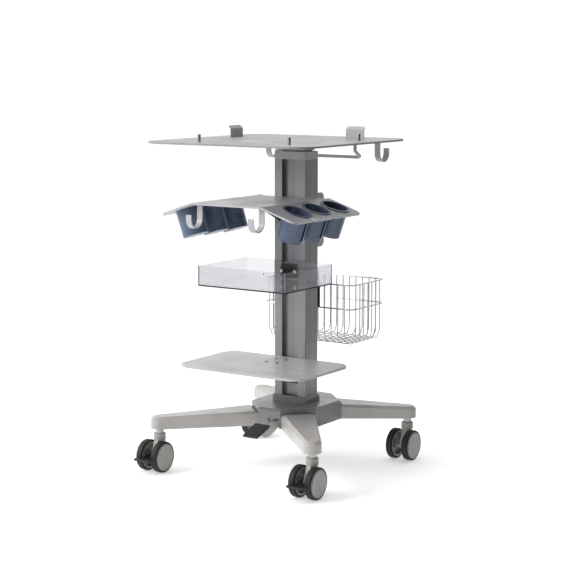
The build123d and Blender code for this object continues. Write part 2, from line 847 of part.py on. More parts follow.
for side, name in ((-1, "left_probe_cups"), (1, "right_probe_cups")):
    with BuildPart() as cups:
        wing = wing_plane(side)
        for centre in cup_centres(side):
            base = Plane(
                origin=wing.from_local_coords((centre[0], centre[1], 0)),
                x_dir=wing.x_dir,
                z_dir=wing.z_dir,
            )
            with BuildSketch(base):
                Circle(cup_top_r)
            with BuildSketch(base.offset(-cup_depth)):
                Circle(cup_bottom_r)
            loft()
            with BuildSketch(base):
                Circle(cup_top_r + cup_lip)
            extrude(amount=cup_lip_t)
            with BuildSketch(base.offset(cup_lip_t)):
                Circle(cup_top_r - cup_wall)
            with BuildSketch(base.offset(-cup_depth + cup_wall)):
                Circle(cup_bottom_r - cup_wall)
            loft(mode=Mode.SUBTRACT)
            if centre == cup_centres(side)[-1]:
                continue
            with BuildSketch(base.offset(cup_lip_t)):
                with Locations((cup_top_r, 0)):
                    Rectangle(cup_top_r, cup_cut)
            extrude(amount=-(cup_depth + cup_lip_t - cup_cut), mode=Mode.SUBTRACT)
    cups.part.label = name
    export_step(cups.part, f"parts/{name}.step")

# Bracket that hangs the probe shelf on the column's front channel
bracket_t = 5.0
key_air = 0.5
key_w = channel_w - 2 * key_air
with BuildPart() as probe_bracket:
    with BuildSketch(ground(probe_z - probe_t)):
        with Locations((0, -column_d / 2 - probe_arm / 2)):
            Rectangle(key_w, probe_arm)
    extrude(amount=-bracket_t)
    with BuildSketch(ground(probe_z - probe_t)):
        with Locations((0, -column_d / 2 + channel_depth / 2)):
            Rectangle(key_w, channel_depth)
    extrude(amount=-probe_key)
    for side in (-1, 1):
        with BuildSketch(across(side * (key_w / 2 - bracket_t / 2))):
            with BuildLine():
                Polyline(
                    (-column_d / 2, probe_z - probe_t - bracket_t),
                    (-column_d / 2 - probe_arm, probe_z - probe_t - bracket_t),
                    (-column_d / 2 - probe_arm, probe_z - probe_t - bracket_t - probe_tip),
                    (-column_d / 2, probe_z - probe_t - probe_key),
                    close=True,
                )
            make_face()
        extrude(amount=bracket_t / 2, both=True)
probe_bracket.part.label = "probe_bracket"
export_step(probe_bracket.part, "parts/probe_bracket.step")

# ================================================================ tray
tray_back = -column_d / 2 - tray_gap
tray_screws = [(side * tray_screw_x, tray_z + tray_screw_z) for side in (-1, 1)]
with BuildPart() as tray:
    with BuildSketch(ground(tray_z)):
        with Locations((0, tray_back - tray_d / 2)):
            RectangleRounded(tray_w, tray_d, tray_r)
    extrude(amount=tray_h)
    with BuildSketch(ground(tray_z + tray_wall)):
        with Locations((0, tray_back - tray_d / 2)):
            Rectangle(tray_w - 2 * tray_wall, tray_d - 2 * tray_wall)
    extrude(amount=tray_h, mode=Mode.SUBTRACT)
    with BuildSketch(facing(tray_back)):
        with Locations(*tray_screws):
            Circle(screw_r)
    extrude(amount=tray_wall, mode=Mode.SUBTRACT)
tray.part.label = "tray"
export_step(tray.part, "parts/tray.step")

# Dark plate between the column's channel and the tray
with BuildPart() as tray_bracket:
    with BuildSketch(facing(-column_d / 2 + channel_depth)) as block:
        with Locations((0, tray_z + tray_screw_z)):
            Rectangle(key_w, tray_block_h)
        chamfer(block.vertices(), tray_block_edge)
    extrude(amount=channel_depth + tray_gap)
    with BuildSketch(facing(tray_back)):
        with Locations(*tray_screws):
            Circle(screw_r)
    extrude(amount=-screw_bite, mode=Mode.SUBTRACT)
tray_bracket.part.label = "tray_bracket"
export_step(tray_bracket.part, "parts/tray_bracket.step")

# ================================================================ lower shelf
lower_screws = [(x, -column_d / 2 - row) for x in (-lower_screw_x, lower_screw_x) for row in lower_screw_rows]
with BuildPart() as lower_shelf:
    with BuildSketch(ground(lower_z - lower_t)):
        with Locations((0, -column_d / 2 - lower_d / 2)):
            RectangleRounded(lower_w, lower_d, lower_r)
    extrude(amount=lower_t)
    fillet(lower_shelf.faces().sort_by(Axis.Z)[-1].outer_wire().edges(), plate_edge)
    with BuildSketch(ground(lower_z)):
        with Locations(*lower_screws):
            Circle(screw_r)
    extrude(amount=-lower_t, mode=Mode.SUBTRACT)
lower_shelf.part.label = "lower_shelf"
export_step(lower_shelf.part, "parts/lower_shelf.step")

with BuildPart() as lower_bracket:
    under = lower_z - lower_t
    with BuildSketch(ground(under)):
        with Locations((0, -column_d / 2 - lower_arm / 2)):
            Rectangle(key_w, lower_arm)
    extrude(amount=-bracket_t)
    with BuildSketch(ground(under)):
        with Locations((0, -column_d / 2 + channel_depth / 2)):
            Rectangle(key_w, channel_depth)
    extrude(amount=-lower_key)
    for side in (-1, 1):
        with BuildSketch(across(side * (key_w / 2 - bracket_t / 2))):
            with BuildLine():
                Polyline(
                    (-column_d / 2, under - bracket_t),
                    (-column_d / 2 - lower_arm, under - bracket_t),
                    (-column_d / 2 - lower_arm, under - bracket_t - lower_tip),
                    (-column_d / 2, under - lower_root),
                    close=True,
                )
            make_face()
        extrude(amount=bracket_t / 2, both=True)
    with BuildSketch(ground(under)):
        with Locations(*lower_screws):
            Circle(screw_r)
    extrude(amount=-bracket_t, mode=Mode.SUBTRACT)
lower_bracket.part.label = "lower_bracket"
export_step(lower_bracket.part, "parts/lower_bracket.step")

# ================================================================ rear side
with BuildPart() as rear_bracket:
    with BuildSketch(facing(column_d / 2 + cheek_t)):
        with Locations((0, (cheek_top + cheek_bottom) / 2)):
            Rectangle(column_w - 2 * cheek_inset, cheek_top - cheek_bottom)
    extrude(amount=cheek_t)
    for side in (-1, 1):
        with BuildSketch(across(side * (column_w / 2 - cheek_inset - cheek_t / 2))):
            with Locations((column_d / 2 + cheek_reach / 2, (cheek_top + cheek_bottom) / 2)):
                Rectangle(cheek_reach, cheek_top - cheek_bottom)
        extrude(amount=cheek_t / 2, both=True)
    back_edges = rear_bracket.edges().filter_by(Axis.X).group_by(Axis.Y)[-1]
    fillet(back_edges, cheek_r)
rear_bracket.part.label = "rear_bracket"
export_step(rear_bracket.part, "parts/rear_bracket.step")

basket_mid = basket_y + basket_d / 2
ring_d = 2 * ring_r
wire_d = 2 * wire_r


def ring_path(inset, level):
    """The rounded rectangle a ring wire follows."""
    outline = RectangleRounded(basket_w - 2 * inset, basket_d - 2 * inset, basket_r)
    placed = Plane(origin=(0, column_y + basket_mid, level)) * outline
    return placed.faces()[0].outer_wire()


def bent_wire(half, plane):
    """A wire that runs down one side, across the floor and up the other, with curved corners."""
    low = basket_floor + (wire_r if plane.z_dir.Y else wire_r + wire_d - weld)
    with BuildLine(plane) as line:
        FilletPolyline(
            (-half, basket_top - ring_r),
            (-half, low + wire_rise),
            (-half + wire_run, low),
            (half - wire_run, low),
            (half, low + wire_rise),
            (half, basket_top - ring_r),
            radius=wire_bend,
        )
    return line.wires()[0]


# The welded basket: two rings with crossing wires inside them
inner_x = basket_w / 2 - ring_d - wire_r + weld
inner_y = basket_d / 2 - ring_d - wire_r + weld
columns_of_wire = round((basket_w - 2 * basket_r) / wire_pitch)
rows_of_wire = round((basket_d - 2 * basket_r) / wire_pitch)
wire_paths = [ring_path(ring_r, level) for level in (basket_top - ring_r, basket_ring_2 - ring_r)]
radii = [ring_r, ring_r]
for i in range(columns_of_wire):
    x = (i - (columns_of_wire - 1) / 2) * wire_pitch
    upright = Plane(origin=(x, column_y + basket_mid, 0), x_dir=(0, 1, 0), z_dir=(1, 0, 0))
    wire_paths.append(bent_wire(inner_y, upright))
    radii.append(wire_r)
for i in range(rows_of_wire):
    y = column_y + basket_mid + (i - (rows_of_wire - 1) / 2) * wire_pitch
    wire_paths.append(bent_wire(inner_x, Plane(origin=(0, y, 0), x_dir=(1, 0, 0), z_dir=(0, -1, 0))))
    radii.append(wire_r)
with BuildPart() as basket:
    for path, radius in zip(wire_paths, radii):
        with BuildSketch(Plane(origin=path @ 0, z_dir=path % 0)):
            Circle(radius)
        sweep(path=path)
basket.part.label = "basket"
export_step(basket.part, "parts/basket.step")

plate_y = column_d / 2 + holder_off
ring_gap = basket_top - ring_d - basket_ring_2
with BuildPart() as basket_bracket:
    with BuildSketch(facing(plate_y)):
        with Locations((0, basket_ring_2 + ring_gap / 2)):
            Rectangle(key_w, ring_gap)
    extrude(amount=plate_y - column_d / 2 + rear_channel_depth)
    with BuildSketch(facing(plate_y + holder_t)):
        with Locations((0, basket_ring_2 + ring_gap / 2)):
            RectangleRounded(column_w, ring_gap, holder_r)
    extrude(amount=holder_t)
    with BuildSketch(facing(basket_y + ring_d - weld)):
        with Locations(*[(side * finger_x, basket_ring_2 + ring_gap / 2) for side in (-1, 1)]):
            Rectangle(finger_w, ring_gap)
    extrude(amount=basket_y + ring_d - weld - plate_y - holder_t)
basket_bracket.part.label = "basket_bracket"
export_step(basket_bracket.part, "parts/basket_bracket.step")

# ================================================================ pedal
pivot_up = 6.0             # lever above its pin
pivot_down = 11.0
lever_low = 124.0          # lowest line of the lever
lever_exit = 143.0         # underside where it leaves the hub
lever_exit_top = 158.0
tail_w = 18.0
tail_t = 8.0
tail_end = mast_off + 8.0  # under the valve pin
pivot_reach = 12.0         # lever ahead of and behind its pin
lever_curve = 40.0         # lever falls away this far from the hub
lever_curve_rise = 3.0
heel = 12.0
pad_edge = 2.5
tail_root_y = 2.0          # corners of the tail, behind the pin
tail_root_rise = 1.0
tail_knee = 16.0
tail_knee_low = 20.0
tail_heel = 10.0
tail_heel_drop = 4.0
tail_top = pin_low - face_gap
pad_front_y = pad_y - pad_l * cos(radians(pad_angle))
pad_front_z = pad_z - pad_l * sin(radians(pad_angle))
with BuildPart() as pedal_arm:
    with BuildSketch(across(pedal_x)):
        with BuildLine():
            Polyline(
                (pedal_pivot_y + pivot_reach, pedal_pivot_z + pivot_up),
                (pedal_pivot_y + pivot_reach, pedal_pivot_z - pivot_down),
                (-hub_front, lever_exit),
            )
            Spline(
                (-hub_front, lever_exit),
                (-hub_front - lever_curve, lever_low + lever_curve_rise),
                (pad_y - heel, lever_low),
                (pad_y - pad_l / 2, (pad_z + pad_front_z) / 2 - pad_t),
            )
            Polyline(
                (pad_y - pad_l / 2, (pad_z + pad_front_z) / 2 - pad_t),
                (pad_y, pad_z - pad_t),
                (-hub_front, lever_exit_top),
                (pedal_pivot_y - pivot_reach, pedal_pivot_z + pivot_up),
                (pedal_pivot_y + pivot_reach, pedal_pivot_z + pivot_up),
            )
        make_face()
    extrude(amount=pedal_w / 2, both=True)
    # Tail that lifts the valve pin
    with BuildSketch(across(tail_w / 2)):
        with BuildLine():
            Polyline(
                (pedal_pivot_y + tail_root_y, pedal_pivot_z + pivot_up - tail_root_rise),
                (pedal_pivot_y + tail_knee, tail_top),
                (tail_end, tail_top),
                (tail_end, tail_top - tail_t),
                (pedal_pivot_y + tail_knee_low, tail_top - tail_t),
                (pedal_pivot_y + tail_heel, pedal_pivot_z - tail_heel_drop),
                close=True,
            )
        make_face()
    extrude(amount=tail_w / 2, both=True)
    with BuildSketch(across(pedal_x)):
        with Locations((pedal_pivot_y, pedal_pivot_z)):
            Circle(pedal_pin_r + run_fit)
    extrude(amount=pedal_w, both=True, mode=Mode.SUBTRACT)
    # Room under the pad
    with BuildSketch(across(pedal_x)):
        with BuildLine():
            Polyline(
                (pad_y, pad_z - pad_t),
                (pad_front_y, pad_front_z - pad_t),
                (pad_front_y, pad_z + pad_t),
                (pad_y, pad_z + pad_t),
                close=True,
            )
        make_face()
    extrude(amount=pedal_w, both=True, mode=Mode.SUBTRACT)
pedal_arm.part.label = "pedal_arm"
export_step(pedal_arm.part, "parts/pedal_arm.step")

with BuildPart() as pedal_pad:
    with BuildSketch(across(pedal_x)):
        with BuildLine():
            Polyline(
                (pad_y, pad_z - pad_t),
                (pad_y, pad_z),
                (pad_front_y, pad_front_z),
                (pad_front_y, pad_front_z - pad_t),
                close=True,
            )
        make_face()
    extrude(amount=pad_w / 2, both=True)
    fillet(pedal_pad.edges().filter_by(Axis.X), pad_edge)
pedal_pad.part.label = "pedal_pad"
export_step(pedal_pad.part, "parts/pedal_pad.step")

with BuildPart() as pedal_pin:
    with BuildSketch(across(pedal_x)):
        with Locations((pedal_pivot_y, pedal_pivot_z)):
            Circle(pedal_pin_r)
    extrude(amount=lug_out + pin_proud, both=True)
pedal_pin.part.label = "pedal_pin"
export_step(pedal_pin.part, "parts/pedal_pin.step")

# ================================================================ screws
with BuildPart() as bracket_screws:
    for plane, places, shank in (
        (ground(lower_z), lower_screws, lower_t + bracket_t),
        (facing(tray_back - tray_wall), tray_screws, tray_wall + screw_bite),
    ):
        with BuildSketch(plane):
            with Locations(*places):
                Circle(screw_head_r)
        extrude(amount=screw_head_h)
        with BuildSketch(plane):
            with Locations(*places):
                Circle(screw_r)
        extrude(amount=-shank)
bracket_screws.part.label = "bracket_screws"
export_step(bracket_screws.part, "parts/bracket_screws.step")
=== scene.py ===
# %% [markdown]
# # A height-adjustable ultrasound cart
# The cart's real pieces (tubes, plates, casters, basket wires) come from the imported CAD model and
# stay exactly where they are. This lesson gives each of them the finish of its real material, adds
# small trim that only the eye needs, and lights the whole like a product in a studio.

# %% Load the frame
import math

import bmesh
import bpy
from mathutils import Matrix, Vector


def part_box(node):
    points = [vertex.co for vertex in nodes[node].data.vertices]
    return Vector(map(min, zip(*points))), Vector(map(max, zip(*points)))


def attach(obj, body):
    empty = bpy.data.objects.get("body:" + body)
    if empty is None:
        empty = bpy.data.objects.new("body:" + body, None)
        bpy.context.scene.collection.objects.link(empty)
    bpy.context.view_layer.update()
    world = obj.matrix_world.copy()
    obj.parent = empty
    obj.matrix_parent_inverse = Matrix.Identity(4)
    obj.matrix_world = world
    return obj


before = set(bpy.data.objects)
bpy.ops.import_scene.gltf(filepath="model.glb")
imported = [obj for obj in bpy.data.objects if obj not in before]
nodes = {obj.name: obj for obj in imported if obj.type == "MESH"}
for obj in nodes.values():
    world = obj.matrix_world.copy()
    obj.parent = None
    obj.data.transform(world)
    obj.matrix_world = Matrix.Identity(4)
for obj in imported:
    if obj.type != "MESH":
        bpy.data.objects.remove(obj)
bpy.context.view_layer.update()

# %% [markdown]
# Colours are written as the hex values a designer would pick. Shaders work in linear light, so one
# function turns them over. A second function adds one shader node, sets its values and wires it up.
# A link named i0 or i1 goes to the socket with that number, because maths nodes repeat their names.

# %% Colour and node helpers
MM = 0.001


def linear(hex_code):
    """sRGB hex to linear RGBA."""
    parts = [int(hex_code[i:i + 2], 16) / 255 for i in (1, 3, 5)]
    return [p / 12.92 if p <= 0.04045 else ((p + 0.055) / 1.055) ** 2.4 for p in parts] + [1.0]


def add(tree, kind, values=None, **links):
    """Adds a node; values sets attributes or sockets, links names a socket and what feeds it."""
    node = tree.nodes.new(kind)
    for key, value in (values or {}).items():
        if isinstance(key, str) and hasattr(node, key):
            setattr(node, key, value)
        else:
            node.inputs[key].default_value = value
    for key, source in links.items():
        numbered = key[0] == "i" and key[1:].isdigit()
        socket = node.inputs[int(key[1:]) if numbered else key]
        tree.links.new(source, socket)
    return node


def fresh(name):
    """An empty material with its shader and output."""
    material = bpy.data.materials.new(name)
    material.use_nodes = True
    tree = material.node_tree
    shader = tree.nodes["Principled BSDF"]
    return material, tree, shader


def ramp(tree, source, low, high, start=0.0, end=1.0):
    """Spreads a 0 to 1 pattern over a range of values."""
    spread = add(tree, "ShaderNodeMapRange", {1: start, 2: end, 3: low, 4: high}, i0=source)
    return spread.outputs[0]


def blended(tree, factor, first, second):
    """Mixes two hex colours by a pattern."""
    mixed = add(tree, "ShaderNodeMix", {"data_type": "RGBA"}, i0=factor)
    mixed.inputs[6].default_value = linear(first)
    mixed.inputs[7].default_value = linear(second)
    return mixed.outputs[2]


# %% [markdown]
# ## Powder coat
# The plates, hooks, arms and brackets are steel or aluminium sheet with a baked powder coat. The
# powder melts into a skin with a faint orange peel about 1.5 mm across. Handling polishes it in
# large soft patches. A noise drives the bump, a much larger one the roughness and the shade.

# %% Powder coat recipe


def powder_coat(name, tone, shade, gloss=0.42, peel=0.10):
    material, tree, shader = fresh(name)
    place = add(tree, "ShaderNodeTexCoord").outputs["Object"]
    skin = add(tree, "ShaderNodeTexNoise", {"Scale": 1 / (1.5 * MM), "Detail": 3.0}, Vector=place).outputs[0]
    patch = add(tree, "ShaderNodeTexNoise", {"Scale": 1 / (90 * MM), "Detail": 5.0}, Vector=place).outputs[0]
    speck = add(tree, "ShaderNodeTexNoise", {"Scale": 1 / (5 * MM), "Detail": 6.0}, Vector=place).outputs[0]
    cloud = add(tree, "ShaderNodeMath", {"operation": "MULTIPLY"}, i0=patch, i1=speck).outputs[0]
    bump = add(tree, "ShaderNodeBump", {"Strength": peel, "Distance": 0.2 * MM}, Height=skin)
    edge = add(tree, "ShaderNodeBevel", {"samples": 4, "Radius": 0.9 * MM})
    tree.links.new(edge.outputs[0], bump.inputs["Normal"])
    tree.links.new(bump.outputs[0], shader.inputs["Normal"])
    worn = blended(tree, ramp(tree, cloud, 0.0, 1.0, 0.12, 0.42), tone, shade)
    tree.links.new(worn, shader.inputs["Base Color"])
    tree.links.new(ramp(tree, patch, gloss - 0.06, gloss + 0.10, 0.3, 0.7), shader.inputs["Roughness"])
    return material


plate_coat = powder_coat("light_grey_powder_coat", "#BDBDBF", "#B2B2B4", gloss=0.33)
top_coat = powder_coat("satin_grey_powder_coat", "#9C9C9E", "#929294", gloss=0.4)
arm_coat = powder_coat("warm_grey_powder_coat", "#BCB9B6", "#B0ADAA", gloss=0.34)
hub_coat = powder_coat("mid_grey_powder_coat", "#8A8C8F", "#7D7F82", gloss=0.3)
bracket_coat = powder_coat("black_powder_coat", "#2A2A2C", "#202022", gloss=0.5, peel=0.16)
rear_coat = powder_coat("silver_grey_powder_coat", "#B4B4B4", "#A8A8A8")
coats = (plate_coat, top_coat, arm_coat, hub_coat, bracket_coat, rear_coat)
print("powder coats:", [coat.name for coat in coats])

# %% [markdown]
# ## Anodised aluminium
# The column is an extrusion. The die leaves fine lines along its length, and anodising turns the
# surface a satin grey. The lines are a noise squeezed across the column and stretched along it.

# %% Anodised extrusion
anodised, tree, shader = fresh("anodised_aluminium_extrusion")
place = add(tree, "ShaderNodeTexCoord").outputs["Object"]
drawn = add(tree, "ShaderNodeMapping", {"Scale": (1.0, 1.0, 0.008)}, Vector=place).outputs[0]
lines = add(tree, "ShaderNodeTexNoise", {"Scale": 1 / (1.2 * MM), "Detail": 4.0}, Vector=drawn).outputs[0]
bands = add(tree, "ShaderNodeTexNoise", {"Scale": 1 / (14 * MM), "Detail": 2.0}, Vector=drawn).outputs[0]
bump = add(tree, "ShaderNodeBump", {"Strength": 0.10, "Distance": 0.08 * MM}, Height=lines)
edge = add(tree, "ShaderNodeBevel", {"samples": 4, "Radius": 0.8 * MM})
tree.links.new(edge.outputs[0], bump.inputs["Normal"])
tree.links.new(bump.outputs[0], shader.inputs["Normal"])
banded = blended(tree, ramp(tree, bands, 0.0, 1.0, 0.3, 0.7), "#A0A1A3", "#949597")
tree.links.new(banded, shader.inputs["Base Color"])
tree.links.new(ramp(tree, lines, 0.42, 0.54), shader.inputs["Roughness"])
shader.inputs["Metallic"].default_value = 0.7
print("column finish:", anodised.name)

# %% [markdown]
# ## Moulded plastic
# Cups, caps and wheels are injection moulded ABS or nylon. The mould is spark eroded, which gives a
# fine even grain. The grain is a small noise in the bump, with broad changes in the sheen.

# %% Moulded plastic recipe


def moulded(name, tone, shade, rough=0.45, grain=0.8, depth=0.12):
    material, tree, shader = fresh(name)
    place = add(tree, "ShaderNodeTexCoord").outputs["Object"]
    fine = add(tree, "ShaderNodeTexNoise", {"Scale": 1 / (grain * MM), "Detail": 2.0}, Vector=place).outputs[0]
    broad = add(tree, "ShaderNodeTexNoise", {"Scale": 1 / (40 * MM), "Detail": 4.0}, Vector=place).outputs[0]
    bump = add(tree, "ShaderNodeBump", {"Strength": depth, "Distance": 0.15 * MM}, Height=fine)
    edge = add(tree, "ShaderNodeBevel", {"samples": 4, "Radius": 0.8 * MM})
    tree.links.new(edge.outputs[0], bump.inputs["Normal"])
    tree.links.new(bump.outputs[0], shader.inputs["Normal"])
    mottled = blended(tree, ramp(tree, broad, 0.0, 1.0, 0.3, 0.7), tone, shade)
    tree.links.new(mottled, shader.inputs["Base Color"])
    tree.links.new(ramp(tree, broad, rough - 0.06, rough + 0.08, 0.3, 0.7), shader.inputs["Roughness"])
    return material


cup_blue = moulded("slate_blue_moulded_abs", "#5A6880", "#505D74", rough=0.3)
cap_grey = moulded("warm_grey_moulded_abs", "#D2CECA", "#C6C2BE")
neck_grey = moulded("caster_grey_moulded_nylon", "#B2AEA9", "#A6A29D")
wheel_grey = moulded("grey_moulded_nylon", "#A3A19B", "#96948E", rough=0.36)
collar_dark = moulded("charcoal_moulded_abs", "#96969A", "#8A8A8E", rough=0.34)
lever_black = moulded("black_moulded_nylon", "#1E1E1F", "#171718", rough=0.4)
glide_white = moulded("natural_acetal", "#DEDCD6", "#D2D0CA")
tyre_black = moulded("black_polyurethane_tyre", "#0F0F10", "#161617", rough=0.6, grain=1.6, depth=0.2)
pad_black = moulded("ribbed_black_rubber", "#302E2F", "#272526", rough=0.7, grain=1.2, depth=0.3)
mouldings = (
    cup_blue, cap_grey, neck_grey, wheel_grey, collar_dark, lever_black, glide_white, tyre_black, pad_black,
)
print("moulded finishes:", len(mouldings))

# %% [markdown]
# ## Chrome wire and zinc steel
# The basket is bright chrome over welded wire, and the fasteners are zinc plated. Both are metals,
# so the tone goes in the base colour and the IOR keeps its default. Faint clouding keeps the
# plating from looking like a mirror.

# %% Plated metals


def plated(name, tone, shade, rough):
    material, tree, shader = fresh(name)
    place = add(tree, "ShaderNodeTexCoord").outputs["Object"]
    haze = add(tree, "ShaderNodeTexNoise", {"Scale": 1 / (12 * MM), "Detail": 5.0}, Vector=place).outputs[0]
    pits = add(tree, "ShaderNodeTexNoise", {"Scale": 1 / (0.9 * MM), "Detail": 2.0}, Vector=place).outputs[0]
    bump = add(tree, "ShaderNodeBump", {"Strength": 0.06, "Distance": 0.05 * MM}, Height=pits)
    tree.links.new(bump.outputs[0], shader.inputs["Normal"])
    clouded = blended(tree, ramp(tree, haze, 0.0, 1.0, 0.35, 0.65), tone, shade)
    tree.links.new(clouded, shader.inputs["Base Color"])
    tree.links.new(ramp(tree, haze, rough, rough + 0.12, 0.3, 0.7), shader.inputs["Roughness"])
    shader.inputs["Metallic"].default_value = 1.0
    return material


chrome = plated("bright_chrome_wire", "#D6D6DA", "#C8C8CC", 0.16)
zinc = plated("zinc_plated_steel", "#B9B8B4", "#A8A7A3", 0.32)
print("metals:", chrome.name, zinc.name)

# %% [markdown]
# ## Clear acrylic
# The tray is folded and bonded cast acrylic, IOR 1.49. It is nearly clear with a slight grey tint,
# and wiping leaves hair-fine scratches that only the roughness shows.

# %% Acrylic
acrylic, tree, shader = fresh("clear_cast_acrylic")
place = add(tree, "ShaderNodeTexCoord").outputs["Object"]
wipes = add(tree, "ShaderNodeMapping", {"Scale": (0.06, 1.0, 1.0)}, Vector=place).outputs[0]
hairs = add(tree, "ShaderNodeTexNoise", {"Scale": 1 / (1.5 * MM), "Detail": 3.0}, Vector=wipes).outputs[0]
tree.links.new(ramp(tree, hairs, 0.03, 0.10, 0.4, 0.7), shader.inputs["Roughness"])
tinted = blended(tree, ramp(tree, hairs, 0.0, 1.0, 0.4, 0.7), "#EEEDF0", "#E6E5E9")
tree.links.new(tinted, shader.inputs["Base Color"])
shader.inputs["Transmission Weight"].default_value = 1.0
shader.inputs["IOR"].default_value = 1.49
print("tray finish:", acrylic.name)

# %% [markdown]
# ## Dress the frame
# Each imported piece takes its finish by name. A piece keeps its shape and place; only what fills its
# material slots changes.

# %% Assign finishes
finish_of = {
    "base_hub": hub_coat, "caster_stems": zinc, "column_foot": collar_dark, "column": anodised,
    "column_cap": cap_grey, "mast_glides": glide_white, "gas_spring_rod": zinc, "pedal_pin": zinc,
    "lower_shelf": plate_coat, "lower_bracket": bracket_coat, "tray": acrylic,
    "tray_bracket": bracket_coat, "probe_shelf": plate_coat, "probe_bracket": bracket_coat,
    "shelf_hooks": plate_coat, "left_probe_cups": cup_blue, "right_probe_cups": cup_blue,
    "rear_bracket": rear_coat, "basket": chrome, "basket_bracket": bracket_coat,
    "bracket_screws": zinc, "mast": anodised, "gas_spring_tube": zinc, "gas_spring_pin": zinc,
    "adapter_plate": plate_coat, "plate_posts": zinc, "top_plate": top_coat,
    "locating_studs": zinc, "top_hooks": plate_coat, "rear_handle": rear_coat,
    "left_clip": plate_coat, "rear_clip": plate_coat, "pedal_arm": arm_coat,
    "pedal_pad": pad_black, "release_pin": zinc,
}
finish_by_ending = {
    "_arm": arm_coat, "_tyres": tyre_black, "_wheels": wheel_grey, "_caster_body": neck_grey,
    "_axle": zinc, "_brake_lever": lever_black,
}
for name, piece in nodes.items():
    finish = finish_of.get(name)
    for ending, by_ending in finish_by_ending.items():
        if finish is None and name.endswith(ending):
            finish = by_ending
    if not piece.data.materials:
        piece.data.materials.append(finish)
    for i in range(len(piece.data.materials)):
        piece.data.materials[i] = finish
print("dressed:", len(nodes), "pieces")

# %% [markdown]
# ## Turned and pressed trim
# Wheel discs, button screws and flanges are all round. One helper spins a profile of (along, radius)
# points round an axis, which gives clean rings of faces with real steps and rounded edges.

# %% A lathe


def placed(name, form, finish, body):
    """Turns a form into a piece with its finish, riding on a body."""
    mesh = bpy.data.meshes.new(name)
    form.to_mesh(mesh)
    form.free()
    mesh.materials.append(finish)
    piece = bpy.data.objects.new(name, mesh)
    bpy.context.collection.objects.link(piece)
    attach(piece, body)
    return piece


def turned(name, centre, axis, profile, finish, body, steps=64):
    """A profile of (along, radius) points in millimetres, spun round an axis through centre."""
    turn = Vector((0, 0, 1)).rotation_difference(Vector(axis)).to_matrix().to_4x4()
    form = bmesh.new()
    rings = []
    for along, radius in profile:
        ring = []
        for i in range(steps):
            a = 2 * math.pi * i / steps
            spot = Vector((radius * math.cos(a), radius * math.sin(a), along)) * MM
            ring.append(form.verts.new(Vector(centre) + (turn @ spot)))
        rings.append(ring)
    for low, high in zip(rings, rings[1:]):
        for i in range(steps):
            j = (i + 1) % steps
            form.faces.new((low[i], low[j], high[j], high[i]))
    form.faces.new(rings[-1])
    form.faces.new(list(reversed(rings[0])))
    for face in form.faces:
        face.smooth = len(face.verts) == 4 and steps > 8
    return placed(name, form, finish, body)


# %% [markdown]
# The wheels carry snap-on discs: a shallow dish with a rounded rim that hides the axle's end.
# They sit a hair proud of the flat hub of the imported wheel.

# %% Wheel discs
corners = ("front_left", "front_right", "rear_left", "rear_right")
disc = [
    (-0.4, 40.6), (0.6, 40.6), (1.2, 40.0), (1.4, 38.8), (1.3, 37.6), (0.9, 36.8), (0.8, 35.0),
    (1.0, 12.0), (1.05, 2.0),
]
for corner in corners:
    low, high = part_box(f"{corner}_wheels")
    middle = (Vector(low) + Vector(high)) / 2
    for side, word in ((-1, "left"), (1, "right")):
        outer = Vector((high[0] if side > 0 else low[0], middle.y, middle.z))
        name = f"{corner}_{word}_disc"
        turned(name, outer, (side, 0, 0), disc, wheel_grey, f"{corner}_wheel_pair")
print("wheel discs:", 2 * len(corners))

# %% [markdown]
# Button-head screws hold the hooks and shelves. The dome is a short arc. The hex socket is not cut into the
# dome. A thin black six-sided disc stands on its tip as painted shade for the dark inside of the recess.

# %% Screw heads and sockets
dome_h = 2.6 * MM
dome = [(0.0, 5.0), (0.6, 5.0), (1.6, 4.4), (2.3, 3.4), (2.6, 2.6)]
# Painted shade: a flat black hexagon a hair proud of the dome takes the place of the shaded hex recess.
socket = [(0.0, 2.3), (0.25, 2.3), (0.3, 1.9)]


def button_screw(name, spot, axis, body):
    turned(name, spot, axis, dome, zinc, body, steps=32)
    top = Vector(spot) + Vector(axis) * dome_h
    # The black hexagon on the dome's tip is painted shade for the socket's recess.
    turned(name + "_painted_shade_socket", top, axis, socket, lever_black, body, steps=6)


hook_half = 10 * MM
foot_middle = 13 * MM
strip = 3.0 * MM
for name, body, inward in (("top_hooks", "lift", 1), ("shelf_hooks", "base", -1)):
    low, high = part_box(name)
    foot = (low[1] if inward > 0 else high[1]) + inward * foot_middle
    for side, x in (("left", low[0] + hook_half), ("right", high[0] - hook_half)):
        button_screw(f"{name}_{side}_screw", (x, foot, high[2] - strip), (0, 0, -1), body)

head_r = 5.2 * MM
screw_rise = 30 * MM
# Painted shade: each tray screw's hex socket is a flat black hexagon on the head, not a shaded recess.
painted_shade_well = [(-0.2, 2.9), (0.2, 2.9), (0.25, 2.4)]
tray_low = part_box("tray")[0]
screw_low, screw_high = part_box("bracket_screws")
for side, word in ((-1, "left"), (1, "right")):
    spot = (side * (screw_high[0] - head_r), screw_low[1], tray_low[2] + screw_rise)
    turned(f"tray_{word}_painted_shade_socket", spot, (0, -1, 0), painted_shade_well, lever_black, "base", steps=6)
print("hook screws: 4, tray sockets: 2")

# %% [markdown]
# The pedal's rubber pad has moulded ribs across it, so a wet shoe doesn't slip. Each rib is a bar
# with a half-round top, laid on the pad's slope.

